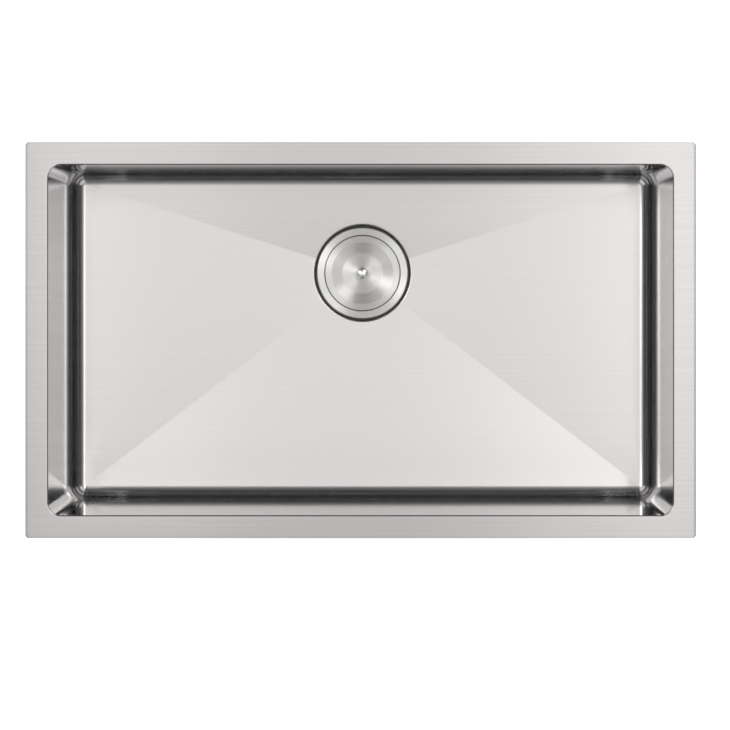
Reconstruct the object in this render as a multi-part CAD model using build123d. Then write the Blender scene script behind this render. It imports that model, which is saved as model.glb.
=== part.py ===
from build123d import *
from math import pi
import os

# An undermount kitchen sink: one folded and welded steel bowl with its sound pads, and a basket strainer
# with a tailpiece below, a lift-out basket and a dished lid with a domed knob.
# Millimetres. The origin is the middle of the rim on its top face, +Z is up and +Y is towards the back.

# Rim and bowl
rim_length = 762.0
rim_width = 450.0
rim_flange = 26.0
rim_corner_radius = 4.0
rim_bend_radius = 1.6
sheet = 1.2
opening_corner_radius = 15.0
corner_margin = 0.5
wall_depth = 222.0
floor_bend_radius = 14.0
floor_fall = 8.0
drain_from_back = 122.0

# Stamped seat round the drain hole
seat_drop = 2.0
seat_gap = 2.3
recess_flare = 0.4
hole_clearance = 1.0

# Sound pads
pad_thickness = 3.0
pad_corner_radius = 10.0
floor_pad_edge_gap = 20.0
floor_pad_drain_gap = 20.0
floor_pad_spacing = 12.0
wall_pad_top_gap = 48.0
wall_pad_foot_gap = 38.0
wall_pad_end_gap = 70.0

# Strainer body
strainer_sheet = 1.0
flange_radius = 56.5
flange_edge_radius = 1.2
lip_clearance = 0.3
cup_radius = 42.0
cup_mouth_radius = 3.0
cup_depth = 36.0
cup_bend_radius = 7.0
cup_floor_fall = 3.0
outlet_radius = 19.5
outlet_bend_radius = 2.0
outlet_length = 24.0
spigot_wall = 2.1
thread_height = 1.0
thread_pitch = 2.5
thread_clearance = 0.25
cup_thread_length = 22.0
outlet_thread_length = 20.0
cross_thickness = 2.0
cross_bar_width = 3.0
cross_hub_radius = 7.5
cross_gap = 2.0

# Seals, washers and nuts that clamp the strainer and join the tailpiece
seal_thickness = 1.5
seal_inset = 1.5
seal_lip = 0.8
seal_lip_gap = 0.3
gasket_thickness = 3.0
gasket_clearance = 0.6
friction_washer_thickness = 1.0
lock_nut_height = 12.0
lock_nut_plate = 3.0
lock_nut_wall = 4.5
lug_count = 8
lug_width = 6.0
lug_length = 5.0
tailpiece_washer_thickness = 2.0
washer_clearance = 0.4
coupling_nut_grip = 13.0
coupling_nut_wall = 4.0
coupling_nut_lip = 3.0
coupling_nut_lip_clearance = 1.45
coupling_rib_count = 12
coupling_rib_radius = 2.5
tailpiece_radius = 19.05
tailpiece_wall = 1.05
tailpiece_length = 100.0
tailpiece_flange = 2.0

# Basket, its stopper and the post that lifts them
rest_clearance = 0.3
basket_sheet = 0.8
basket_lip_radius = 45.3
basket_radius = 40.6
basket_floor_radius = 36.0
basket_lip_bend = 1.6
basket_floor_bend = 5.0
basket_slot_count = 24
basket_slot_width = 2.4
basket_slot_margin = 6.0
basket_hole_radius = 2.0
basket_hole_first_ring = 14.0
basket_hole_ring_step = 6.5
basket_hole_ring_count = 3
basket_hole_pitch = 10.0
shank_radius = 3.0
fit_gap = 0.1
post_collar_radius = 8.0
post_collar_height = 1.6
post_waist_radius = 3.6
post_knob_radius = 7.0
post_knob_height = 5.0
post_gap = 3.0
stopper_radius = 24.0
stopper_thickness = 6.0
stopper_edge_radius = 1.2
stopper_washer_radius = 16.0
stopper_washer_thickness = 1.3
backing_washer_radius = 9.0
backing_washer_thickness = 1.0
guide_nut_across_flats = 10.0
guide_nut_height = 5.0
guide_radius = 4.0
guide_length = 9.0
guide_clearance = 0.3

# Lid and its knob
lid_sheet = 0.8
lid_radius = 47.0
lid_edge_radius = 1.5
lid_gap = 0.5
dish_radius = 38.3
dish_foot_radius = 25.2
dish_depth = 3.6
dish_lip_radius = 4.0
dish_cove_radius = 8.0
notch_count = 6
notch_width = 8.0
notch_height = 1.0
knob_radius = 6.2
knob_height = 6.0
knob_flare = 2.2
knob_dome_rise = 1.3
knob_edge_radius = 0.6
neck_radius = 2.8
neck_height = 4.0
neck_foot_radius = 5.0
neck_foot_height = 1.0
stud_radius = 2.0
stud_tail = 1.0
knob_nut_across_flats = 7.0
knob_nut_height = 3.2

# Plan of the bowl
opening_length = rim_length - 2 * rim_flange
opening_width = rim_width - 2 * rim_flange
drain_y = opening_width / 2 - drain_from_back
fall_half_length = opening_length / 2 - opening_corner_radius
fall_half_width = opening_width / 2 - opening_corner_radius
foot_bend_radius = min(floor_bend_radius, opening_corner_radius - corner_margin)

# Radii that fit one another round the drain
cup_thread_radius = cup_radius + strainer_sheet + thread_height
hole_radius = cup_thread_radius + hole_clearance
seat_radius = flange_radius + seat_gap
recess_radius = seat_radius + recess_flare
lock_nut_bore = cup_thread_radius + thread_clearance
spigot_radius = outlet_radius + strainer_sheet + spigot_wall
spigot_thread_radius = spigot_radius + thread_height
coupling_nut_bore = spigot_thread_radius + thread_clearance
tailpiece_bore = tailpiece_radius - tailpiece_wall
tailpiece_flange_radius = coupling_nut_bore - washer_clearance

# Levels of the drain, from the rim down
drain_floor_z = -wall_depth - floor_fall
seat_z = drain_floor_z - seat_drop
flange_z = seat_z + seal_thickness + strainer_sheet
gasket_z = seat_z - sheet
friction_washer_z = gasket_z - gasket_thickness
lock_nut_z = friction_washer_z - friction_washer_thickness
cup_floor_z = flange_z - cup_depth
outlet_z = cup_floor_z - cup_floor_fall
spigot_end_z = outlet_z - outlet_length
tailpiece_z = spigot_end_z - tailpiece_washer_thickness
tailpiece_end_z = tailpiece_z - tailpiece_length
coupling_nut_z = tailpiece_z - tailpiece_flange - coupling_nut_lip

# Levels of the basket, which rests on the cup's mouth while its stopper closes the outlet
cup_floor_slope = cup_floor_fall / (cup_radius - outlet_radius)
stopper_z = cup_floor_z - cup_floor_slope * (cup_radius - stopper_radius) + rest_clearance
stopper_washer_z = stopper_z + stopper_thickness
basket_floor_z = stopper_washer_z + stopper_washer_thickness + basket_sheet
basket_lip_z = flange_z + rest_clearance + basket_sheet
guide_nut_z = stopper_z - backing_washer_thickness
guide_z = guide_nut_z - guide_nut_height
cross_z = guide_z - cross_gap

# Levels of the lid
lid_skirt_z = flange_z + rest_clearance
lid_shoulder_z = lid_skirt_z + basket_sheet + lid_gap + lid_sheet
dish_z = lid_shoulder_z - dish_depth
knob_z = dish_z + neck_foot_height + neck_height
knob_nut_z = dish_z - lid_sheet - knob_nut_height
stud_end_z = knob_nut_z - stud_tail
post_top_z = stud_end_z - post_gap


def at_drain(shape):
    """Move a shape drawn round the Z axis to the drain."""
    return Pos(0, drain_y, 0) * shape


def turned(profile):
    """Turn a profile of radius and height round the drain's axis."""
    return at_drain(revolve(Plane.XZ * profile, Axis.Z))


def outline(*points):
    """Closed straight-sided profile."""
    return make_face(Polyline(*points, close=True))


def drawn_sheet(thickness, radii, *points):
    """Profile of a drawn sheet: its upper face follows the points, from the outer edge inwards."""
    upper_face = FilletPolyline(*points, radius=radii)
    return make_face(offset(upper_face, thickness, side=Side.LEFT, kind=Kind.INTERSECTION))


def ring(inner, outer, bottom, height):
    """Flat ring round the drain's axis."""
    top = bottom + height
    return turned(outline((inner, bottom), (outer, bottom), (outer, top), (inner, top)))


def disc(radius, bottom, height):
    """Round disc or bar on the drain's axis."""
    return at_drain(Pos(0, 0, bottom + height / 2) * Cylinder(radius, height))


def around_drain(radius, count, height, shape):
    """Copies of a shape in a circle round the drain's axis, with their middles at one height."""
    return [at_drain(Pos(0, 0, height) * place * shape) for place in PolarLocations(radius, count)]


def threaded_band(inner, root, top, length):
    """Band of thread ridges on a tube, drawn as rings."""
    ridges = round(length / thread_pitch)
    points = [(inner, top), (root, top)]
    for ridge in range(ridges):
        points.append((root + thread_height, top - (ridge + 0.5) * thread_pitch))
        points.append((root, top - (ridge + 1) * thread_pitch))
    points.append((inner, top - ridges * thread_pitch))
    return turned(outline(*points))


def hexagon_nut(across_flats, bore, bottom, height):
    """Plain six-sided nut on the drain's axis."""
    flats = RegularPolygon(across_flats / 2, 6, major_radius=False) - Circle(bore)
    return at_drain(Pos(0, 0, bottom) * extrude(flats, height))


def falling_floor(grow):
    """The four flat facets of the floor, falling from the foot of the walls to the drain's centre."""
    edge_z = -wall_depth - grow
    corners = [
        Vector(side_x * fall_half_length, side_y * fall_half_width, edge_z)
        for side_x, side_y in ((1, 1), (-1, 1), (-1, -1), (1, -1))
    ]
    low_point = Vector(0, drain_y, drain_floor_z - grow)
    faces = [Face(Wire.make_polygon(corners))]
    for index in range(4):
        faces.append(Face(Wire.make_polygon([corners[index - 1], corners[index], low_point])))
    return Solid(Shell(faces))


def well(grow):
    """The hollow of the bowl, or its outside when it is grown by the sheet."""
    plan = RectangleRounded(opening_length + 2 * grow, opening_width + 2 * grow, opening_corner_radius + grow)
    walls = extrude(plan, -wall_depth - grow)
    foot = walls.faces().sort_by(Axis.Z)[0].edges()
    return fillet(foot, foot_bend_radius + grow) + falling_floor(grow)


def recess(grow):
    """The stamped recess that the strainer's flange sits in, open to the bowl."""
    low = seat_z - grow
    seat = seat_radius + grow
    rise = recess_flare / (drain_floor_z - seat_z)
    mouth = seat + rise * (-wall_depth - low)
    return turned(outline((0, low), (seat, low), (mouth, -wall_depth), (0, -wall_depth)))


def is_on_opening(edge):
    """Tell an edge of the bowl's opening from one of the rim's outer edge."""
    middle = edge.center()
    inside_length = abs(middle.X) < (rim_length - rim_flange) / 2
    return inside_length and abs(middle.Y) < (rim_width - rim_flange) / 2


def make_bowl():
    rim = extrude(RectangleRounded(rim_length, rim_width, rim_corner_radius), -sheet)
    shell = rim + well(sheet) + recess(sheet) - well(0) - recess(0)
    shell -= disc(hole_radius, gasket_z - sheet, 3 * sheet)
    opening = shell.edges().group_by(Axis.Z)[-1].filter_by(is_on_opening)
    return fillet(opening, rim_bend_radius)


def make_floor_pad(low_x, high_x, low_y, high_y):
    """Rubber pad that follows the underside of the floor."""
    plan = RectangleRounded(high_x - low_x, high_y - low_y, pad_corner_radius)
    block = Pos((low_x + high_x) / 2, (low_y + high_y) / 2, seat_z) * extrude(plan, wall_depth / 2, both=True)
    return (block & well(sheet + pad_thickness)) - well(sheet)


def make_floor_pads():
    edge_x = fall_half_length - floor_pad_edge_gap
    edge_y = fall_half_width - floor_pad_edge_gap
    drain_edge = recess_radius + sheet + floor_pad_drain_gap
    return {
        "left_floor_pad": make_floor_pad(-edge_x, -drain_edge, -edge_y, edge_y),
        "right_floor_pad": make_floor_pad(drain_edge, edge_x, -edge_y, edge_y),
        "front_floor_pad": make_floor_pad(
            floor_pad_spacing - drain_edge, drain_edge - floor_pad_spacing, -edge_y, drain_y - drain_edge
        ),
    }


def make_wall_pad(plane, wall_length):
    """Rubber pad on the outside of one wall; the plane lies on that wall at the rim's level."""
    height = wall_depth - foot_bend_radius - wall_pad_top_gap - wall_pad_foot_gap
    plan = RectangleRounded(wall_length - 2 * wall_pad_end_gap, height, pad_corner_radius)
    return extrude(plane * Pos(0, -wall_pad_top_gap - height / 2) * plan, pad_thickness)


def make_wall_pads():
    half_length = opening_length / 2 + sheet
    half_width = opening_width / 2 + sheet
    front = Plane((0, -half_width, 0), x_dir=(1, 0, 0), z_dir=(0, -1, 0))
    back = Plane((0, half_width, 0), x_dir=(-1, 0, 0), z_dir=(0, 1, 0))
    left = Plane((-half_length, 0, 0), x_dir=(0, -1, 0), z_dir=(-1, 0, 0))
    right = Plane((half_length, 0, 0), x_dir=(0, 1, 0), z_dir=(1, 0, 0))
    return {
        "front_wall_pad": make_wall_pad(front, opening_length),
        "back_wall_pad": make_wall_pad(back, opening_length),
        "left_wall_pad": make_wall_pad(left, opening_width),
        "right_wall_pad": make_wall_pad(right, opening_width),
    }


def make_strainer_body():
    """Drawn cup with a flange above, thread ridges outside, an outlet spigot and a guide cross in the outlet."""
    cup = turned(
        drawn_sheet(
            strainer_sheet,
            (flange_edge_radius, cup_mouth_radius, cup_bend_radius, outlet_bend_radius),
            (flange_radius, seat_z + seal_lip + lip_clearance),
            (flange_radius, flange_z),
            (cup_radius, flange_z),
            (cup_radius, cup_floor_z),
            (outlet_radius, outlet_z),
            (outlet_radius, spigot_end_z),
        )
    )
    cup_wall_middle = cup_radius + strainer_sheet / 2
    outlet_wall_middle = outlet_radius + strainer_sheet / 2
    cup_thread = threaded_band(
        cup_wall_middle, cup_radius + strainer_sheet, gasket_z, cup_thread_length
    )
    spigot = ring(outlet_wall_middle, spigot_radius, spigot_end_z, outlet_thread_length)
    spigot_thread = threaded_band(
        outlet_wall_middle, spigot_radius, spigot_end_z + outlet_thread_length, outlet_thread_length
    )
    bar = Box(2 * outlet_wall_middle, cross_bar_width, cross_thickness)
    bars = at_drain(Pos(0, 0, cross_z - cross_thickness / 2) * (bar + Rot(0, 0, 90) * bar))
    hub = disc(cross_hub_radius, cross_z - cross_thickness, cross_thickness)
    guide_hole = disc(guide_radius + guide_clearance, cross_z - 2 * cross_thickness, 3 * cross_thickness)
    return cup + cup_thread + spigot + spigot_thread + (bars + hub - guide_hole)


def make_flange_seal():
    """Soft ring under the flange, with a thin lip that shows round the flange's edge."""
    inner = hole_radius + seal_inset
    shoulder = flange_radius - strainer_sheet - seal_inset
    lip = ring(inner, seat_radius - seal_lip_gap, seat_z, seal_lip)
    return lip + ring(inner, shoulder, seat_z, seal_thickness)


def make_rubber_gasket():
    return ring(cup_thread_radius + gasket_clearance, flange_radius, friction_washer_z, gasket_thickness)


def make_friction_washer():
    return ring(
        cup_thread_radius + gasket_clearance, flange_radius, lock_nut_z, friction_washer_thickness
    )


def make_lock_nut():
    """Clamping nut with a wide plate and lugs for a spanner."""
    bottom = lock_nut_z - lock_nut_height
    wall_radius = lock_nut_bore + lock_nut_wall
    plate = ring(lock_nut_bore, flange_radius, lock_nut_z - lock_nut_plate, lock_nut_plate)
    wall = ring(lock_nut_bore, wall_radius, bottom, lock_nut_height)
    lug_reach = lock_nut_wall / 2 + lug_length
    lug = Box(lug_reach, lug_width, lock_nut_height)
    lug_middle = wall_radius - lock_nut_wall / 2 + lug_reach / 2
    return plate + wall + around_drain(lug_middle, lug_count, bottom + lock_nut_height / 2, lug)


def make_tailpiece_washer():
    outer = coupling_nut_bore - washer_clearance
    return ring(tailpiece_bore, outer, tailpiece_z, tailpiece_washer_thickness)


def make_tailpiece():
    flange = ring(tailpiece_bore, tailpiece_flange_radius, tailpiece_z - tailpiece_flange, tailpiece_flange)
    return flange + ring(tailpiece_bore, tailpiece_radius, tailpiece_end_z, tailpiece_length)


def make_coupling_nut():
    """Ribbed nut that pulls the tailpiece's flange up against the spigot."""
    height = spigot_end_z + coupling_nut_grip - coupling_nut_z
    outer = coupling_nut_bore + coupling_nut_wall
    lip_bore = tailpiece_radius + coupling_nut_lip_clearance
    wall = ring(coupling_nut_bore, outer, coupling_nut_z, height)
    lip = ring(lip_bore, outer, coupling_nut_z, coupling_nut_lip)
    rib = Cylinder(coupling_rib_radius, height)
    ribs = around_drain(outer, coupling_rib_count, coupling_nut_z + height / 2, rib)
    return wall + lip + ribs


def make_basket_cup():
    """Perforated cup: slots in its wall and rings of holes in its floor."""
    cup = turned(
        drawn_sheet(
            basket_sheet,
            (basket_lip_bend, basket_floor_bend),
            (basket_lip_radius, basket_lip_z),
            (basket_radius, basket_lip_z),
            (basket_floor_radius, basket_floor_z),
            (shank_radius + fit_gap, basket_floor_z),
        )
    )
    slot_top = basket_lip_z - basket_slot_margin
    slot_bottom = basket_floor_z + basket_slot_margin
    slot_reach = basket_radius - basket_floor_radius + 4 * basket_sheet
    slot = Box(slot_reach, basket_slot_width, slot_top - slot_bottom)
    slot_ring = (basket_radius + basket_floor_radius) / 2
    cup -= around_drain(slot_ring, basket_slot_count, (slot_top + slot_bottom) / 2, slot)
    hole = Cylinder(basket_hole_radius, 3 * basket_sheet)
    for index in range(basket_hole_ring_count):
        ring_radius = basket_hole_first_ring + index * basket_hole_ring_step
        hole_count = 2 * round(pi * ring_radius / basket_hole_pitch)
        cup -= around_drain(ring_radius, hole_count, basket_floor_z, hole)
    return cup


def make_basket_post():
    """Turned post: a finger knob, a waist and a collar on the basket's floor, and a shank down through the stack."""
    collar_top = basket_floor_z + post_collar_height
    knob_bottom = post_top_z - post_knob_height
    shank_end = guide_nut_z - guide_nut_height
    return turned(
        outline(
            (0, shank_end),
            (shank_radius, shank_end),
            (shank_radius, basket_floor_z),
            (post_collar_radius, basket_floor_z),
            (post_collar_radius, collar_top),
            (post_waist_radius, collar_top),
            (post_waist_radius, knob_bottom),
            (post_knob_radius, knob_bottom),
            (post_knob_radius, post_top_z),
            (0, post_top_z),
        )
    )


def make_stopper():
    """Rubber disc with rounded edges that closes the outlet."""
    section = FilletPolyline(
        (shank_radius + fit_gap, stopper_z),
        (stopper_radius, stopper_z),
        (stopper_radius, stopper_washer_z),
        (shank_radius + fit_gap, stopper_washer_z),
        radius=(0, stopper_edge_radius, stopper_edge_radius, 0),
        close=True,
    )
    return turned(make_face(section))


def make_stopper_washer():
    return ring(shank_radius + fit_gap, stopper_washer_radius, stopper_washer_z, stopper_washer_thickness)


def make_backing_washer():
    return ring(shank_radius + fit_gap, backing_washer_radius, guide_nut_z, backing_washer_thickness)


def make_guide_nut():
    """Nut under the stopper, with a plain tip that the outlet's cross guides."""
    tip = disc(guide_radius, guide_z - guide_length, guide_length)
    return tip + hexagon_nut(guide_nut_across_flats, shank_radius + fit_gap, guide_z, guide_nut_height)


def make_drain_lid():
    """Dished lid with a turned-down skirt, notched so that water still runs under it."""
    lid = turned(
        drawn_sheet(
            lid_sheet,
            (lid_edge_radius, dish_lip_radius, dish_cove_radius),
            (lid_radius, lid_skirt_z),
            (lid_radius, lid_shoulder_z),
            (dish_radius, lid_shoulder_z),
            (dish_foot_radius, dish_z),
            (stud_radius + fit_gap, dish_z),
        )
    )
    notch = Box(4 * lid_sheet, notch_width, 2 * notch_height)
    return lid - around_drain(lid_radius - lid_sheet / 2, notch_count, lid_skirt_z, notch)


def make_lid_knob():
    """Domed steel knob on a short neck, with a stud through the lid."""
    foot = disc(neck_foot_radius, dish_z, neck_foot_height)
    neck = disc(neck_radius, dish_z, knob_z - dish_z)
    stud = disc(stud_radius, stud_end_z, dish_z - stud_end_z)
    top = knob_z + knob_height
    dome_foot = top - knob_dome_rise
    side = Polyline(
        (0, top), (0, knob_z), (neck_radius, knob_z), (knob_radius, knob_z + knob_flare), (knob_radius, dome_foot)
    )
    dome = TangentArc((0, top), (knob_radius, dome_foot), tangent=(1, 0))
    head = make_face(side + dome)
    head = fillet(head.vertices().sort_by(Axis.X)[-2:], knob_edge_radius)
    return foot + neck + stud + turned(head)


def make_knob_nut():
    return hexagon_nut(knob_nut_across_flats, stud_radius + fit_gap, knob_nut_z, knob_nut_height)


def make_parts():
    return {
        "bowl": make_bowl(),
        **make_floor_pads(),
        **make_wall_pads(),
        "flange_seal": make_flange_seal(),
        "strainer_body": make_strainer_body(),
        "rubber_gasket": make_rubber_gasket(),
        "friction_washer": make_friction_washer(),
        "lock_nut": make_lock_nut(),
        "tailpiece_washer": make_tailpiece_washer(),
        "coupling_nut": make_coupling_nut(),
        "tailpiece": make_tailpiece(),
        "basket_cup": make_basket_cup(),
        "basket_post": make_basket_post(),
        "stopper_washer": make_stopper_washer(),
        "stopper": make_stopper(),
        "backing_washer": make_backing_washer(),
        "guide_nut": make_guide_nut(),
        "drain_lid": make_drain_lid(),
        "lid_knob": make_lid_knob(),
        "knob_nut": make_knob_nut(),
    }


os.makedirs("parts", exist_ok=True)
for node, shape in make_parts().items():
    export_step(shape, f"parts/{node}.step")
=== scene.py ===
from math import asin, atan, atan2, cos, pi, radians, sin, tan

import bmesh
import bpy
from bpy.props import FloatProperty, FloatVectorProperty, IntProperty, PointerProperty
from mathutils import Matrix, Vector


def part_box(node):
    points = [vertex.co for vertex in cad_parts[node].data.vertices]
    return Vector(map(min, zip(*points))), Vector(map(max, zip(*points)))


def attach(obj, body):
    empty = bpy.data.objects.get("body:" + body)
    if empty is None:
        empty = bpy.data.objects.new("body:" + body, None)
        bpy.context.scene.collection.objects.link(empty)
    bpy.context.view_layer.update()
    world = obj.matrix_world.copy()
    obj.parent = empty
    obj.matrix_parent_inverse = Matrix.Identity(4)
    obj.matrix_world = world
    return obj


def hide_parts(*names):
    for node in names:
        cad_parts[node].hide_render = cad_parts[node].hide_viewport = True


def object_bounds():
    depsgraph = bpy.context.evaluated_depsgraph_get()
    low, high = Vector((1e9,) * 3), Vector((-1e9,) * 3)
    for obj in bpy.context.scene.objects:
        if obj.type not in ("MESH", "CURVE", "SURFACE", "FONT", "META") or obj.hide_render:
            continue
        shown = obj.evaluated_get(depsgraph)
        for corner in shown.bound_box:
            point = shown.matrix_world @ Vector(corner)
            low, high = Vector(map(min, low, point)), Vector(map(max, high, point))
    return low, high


bl_info = {
    "name": "Undermount sink",
    "version": (1, 0, 0),
    "blender": (4, 5, 0),
    "location": "View3D > Sidebar > Sink",
    "description": "Dresses an undermount steel sink, its basket strainer and its lid",
    "category": "Object",
}

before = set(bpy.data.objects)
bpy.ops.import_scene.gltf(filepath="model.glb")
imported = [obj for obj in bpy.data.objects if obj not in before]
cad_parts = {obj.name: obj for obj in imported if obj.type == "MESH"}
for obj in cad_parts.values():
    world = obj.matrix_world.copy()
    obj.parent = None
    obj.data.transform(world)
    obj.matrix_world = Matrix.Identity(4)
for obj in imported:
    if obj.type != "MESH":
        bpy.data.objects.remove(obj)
cad_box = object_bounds()
_, rim_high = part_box("bowl")
strainer_low, strainer_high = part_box("strainer_body")
tube_low, tube_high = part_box("tailpiece")
basket_low, basket_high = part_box("basket_cup")
post_low, post_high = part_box("basket_post")
lid_low, lid_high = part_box("drain_lid")
knob_low, knob_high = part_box("lid_knob")
drain_y = (strainer_low.y + strainer_high.y) / 2


# Sizes and colours

def length(name, description, metres):
    """A length in metres that the user may change."""
    return FloatProperty(name=name, description=description, default=metres, precision=5, unit="LENGTH")


def colour(name, description, *shade):
    """A colour that the user may change."""
    return FloatVectorProperty(name=name, description=description, default=shade, size=3, min=0, max=1,
                               subtype="COLOR")


def share(name, description, amount):
    """A share from 0 to 1 that the user may change."""
    return FloatProperty(name=name, description=description, default=amount, min=0, max=1, precision=3,
                         subtype="FACTOR")


def brightness(name, description, amount):
    """A light's strength that the user may change."""
    return FloatProperty(name=name, description=description, default=amount, min=0, precision=3)


class BowlSizes(bpy.types.PropertyGroup):
    """Sizes of the folded bowl."""

    half_length: length("Half length", "Half of the rim along the sink", rim_high.x)
    half_width: length("Half width", "Half of the rim from front to back", rim_high.y)
    rim_strip: length("Rim strip", "Width of the flat rim", 0.026)
    sheet: length("Sheet", "Thickness of the steel", 0.0012)
    rim_corner: length("Rim corner", "Radius of the rim's outer corners", 0.004)
    opening_corner: length("Opening corner", "Radius between two walls", 0.015)
    rim_bend: length("Rim bend", "Radius from the rim into the walls", 0.0016)
    foot_bend: length("Foot bend", "Radius from the walls into the floor", 0.014)
    wall_depth: length("Wall depth", "Rim to the foot of the walls", 0.222)
    floor_fall: length("Floor fall", "Fall of the floor to the drain", 0.008)
    wall_draft: length("Wall draft", "How far the front and back walls lean in at the foot", 0.0004)
    seat_level: length("Seat level", "Height of the strainer's seat", -0.232)
    seat_radius: length("Seat radius", "Radius of the flat seat", 0.0588)
    recess_flare: share("Recess flare", "How much the recess widens as it rises", 0.2)
    recess_lip: length("Recess lip", "Radius of the recess's upper edge", 0.002)
    hole_radius: length("Hole radius", "Radius of the drain hole", 0.045)
    cut_edge: length("Cut edge", "Rounding of the sheet's cut edges", 0.0003)


LID_SHEET = 0.0008


class DrainSizes(bpy.types.PropertyGroup):
    """Sizes of the strainer, its basket, its lid and the tube below."""

    flange_level: length("Flange level", "Top of the strainer's flange", strainer_high.z)
    flange_radius: length("Flange radius", "Outer radius of the strainer's flange", strainer_high.x)
    flange_edge: length("Flange edge", "Radius of the flange's outer edge", 0.0012)
    cup_radius: length("Cup radius", "Inner radius of the strainer's cup", 0.042)
    cup_floor: length("Cup floor", "Height of the cup's floor at its wall", -0.2655)
    outlet_level: length("Outlet level", "Height of the outlet's mouth", -0.2685)
    outlet_radius: length("Outlet radius", "Inner radius of the outlet", 0.0195)
    spigot_radius: length("Spigot radius", "Outer radius of the spigot below its thread", 0.0226)
    spigot_top: length("Spigot top", "Top of the spigot's threaded part", -0.2725)
    spigot_end: length("Spigot end", "Lower end of the strainer", strainer_low.z)
    strainer_sheet: length("Strainer sheet", "Thickness of the strainer's steel", 0.001)
    thread_pitch: length("Thread pitch", "Rise of the threads in one turn", 0.0025)
    thread_height: length("Thread height", "How far the threads stand out", 0.001)
    basket_sheet: length("Basket sheet", "Thickness of the basket's steel", 0.0008)
    slot_count: IntProperty(name="Slots", description="Slots in the basket's wall", default=24, min=3)
    slot_width: length("Slot width", "Width of a slot in the basket", 0.0024)
    hole_radius: length("Hole radius", "Radius of a hole in the basket's floor", 0.002)
    hole_pitch: length("Hole pitch", "Spacing of the holes in a ring", 0.010)
    lid_sheet: length("Lid sheet", "Thickness of the lid's steel", LID_SHEET)
    lid_radius: length("Lid radius", "Outer radius of the lid", lid_high.x)
    lid_skirt: length("Lid skirt", "Lower edge of the lid's skirt", -0.2292)
    lid_shoulder: length("Lid shoulder", "Top of the lid's shoulder", lid_high.z)
    dish_radius: length("Dish radius", "Radius where the dish starts", 0.0383)
    dish_foot: length("Dish foot", "Radius where the dish's side would meet its floor", 0.0252)
    dish_level: length("Dish level", "Top of the dish's floor", lid_low.z + LID_SHEET)
    dish_cove: length("Dish cove", "Radius of the hollow round the dish's floor", 0.008)
    dish_lip: length("Dish lip", "Radius of the dish's upper edge", 0.004)
    lid_edge: length("Lid edge", "Radius of the lid's outer edge", 0.0015)
    knob_radius: length("Knob radius", "Radius of the lid's knob", knob_high.x)
    knob_height: length("Knob height", "Height of the knob's head", 0.006)
    knob_flare: length("Knob flare", "Height over which the head widens from its neck", 0.0022)
    knob_dome: length("Knob dome", "Rise of the head's domed top", 0.0013)
    neck_radius: length("Neck radius", "Radius of the knob's neck", 0.0028)
    notch_count: IntProperty(name="Notches", description="Water notches in the lid's skirt", default=6, min=1)
    tube_radius: length("Tube radius", "Outer radius of the tailpiece", 0.01905)


class Finishes(bpy.types.PropertyGroup):
    """Colours and roughness of the finishes."""

    steel: colour("Satin steel", "Sheet steel of the bowl", 0.649, 0.649, 0.649)
    steel_roughness: share("Satin roughness", "Roughness of the satin steel", 0.165)
    steel_brush: share("Satin brush", "How strongly brushing stretches the satin steel's highlights", 0.96)
    spun: colour("Spun steel", "Steel of the strainer, basket and lid", 0.685, 0.694, 0.687)
    spun_roughness: share("Spun roughness", "Roughness of the spun steel", 0.35)
    spun_brush: share("Spun brush", "How strongly spinning stretches the spun steel's highlights", 0.98)
    # Painted shadow: the radius of the dark ring drawn round the lid's edge, on the lid's rim and on the
    # flange beside it.
    edge_shadow_radius: length("Edge shadow radius", "Where painted shadow gathers round the lid's edge", lid_high.x)
    polished: colour("Polished steel", "Knob, post, washers and small nuts", 0.785, 0.80, 0.795)
    undercoat: colour("Undercoat", "Sprayed coat that quiets the bowl's outside", 0.36, 0.37, 0.375)
    pad: colour("Pad rubber", "Sound pads", 0.030, 0.030, 0.032)
    # Lighter than the pads' rubber: set to the tone of the shadow in the groove round the strainer's flange,
    # where the seal's rim shows as painted shade. The same colour serves the gasket and the stopper.
    rubber: colour("Black rubber", "Seals and stopper", 0.085, 0.082, 0.078)
    zinc: colour("Cast zinc", "Lock nut", 0.50, 0.51, 0.52)
    plastic: colour("White plastic", "Coupling nut and its washer", 0.80, 0.80, 0.77)
    chrome: colour("Chrome plate", "Tailpiece", 0.55, 0.556, 0.56)
    fibre: colour("Pressed fibre", "Friction washer", 0.50, 0.37, 0.24)


class Studio(bpy.types.PropertyGroup):
    """Camera, lamps and floor."""

    camera_place: FloatVectorProperty(name="Camera", description="Place of the camera", size=3,
                                      default=(0.025, 0.066, 2.453), subtype="TRANSLATION")
    camera_lens: FloatProperty(name="Lens", description="Focal length", default=106.5, min=1,
                               unit="CAMERA")
    camera_shift: FloatVectorProperty(name="Shift", description="Shift of the lens across and up", size=2,
                                      default=(-0.0241, -0.1137))
    boxes: brightness("Soft boxes", "Brightness of the soft boxes overhead", 1.25)
    panels: brightness("Corner panels", "Brightness of the two panels at the back corners overhead", 3.3)
    room: brightness("Room", "Brightness of the room's walls and corners", 1.1)
    tint: FloatVectorProperty(name="Tint", description="Colour of the light", size=3,
                              default=(1.025, 0.994, 0.983), subtype="COLOR")
    floor_glow: brightness("Floor glow", "How much the pale floor shines by itself", 0.6)


GROUPS = {"sink_bowl": BowlSizes, "sink_drain": DrainSizes, "sink_finishes": Finishes, "sink_studio": Studio}


# Node trees

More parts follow.
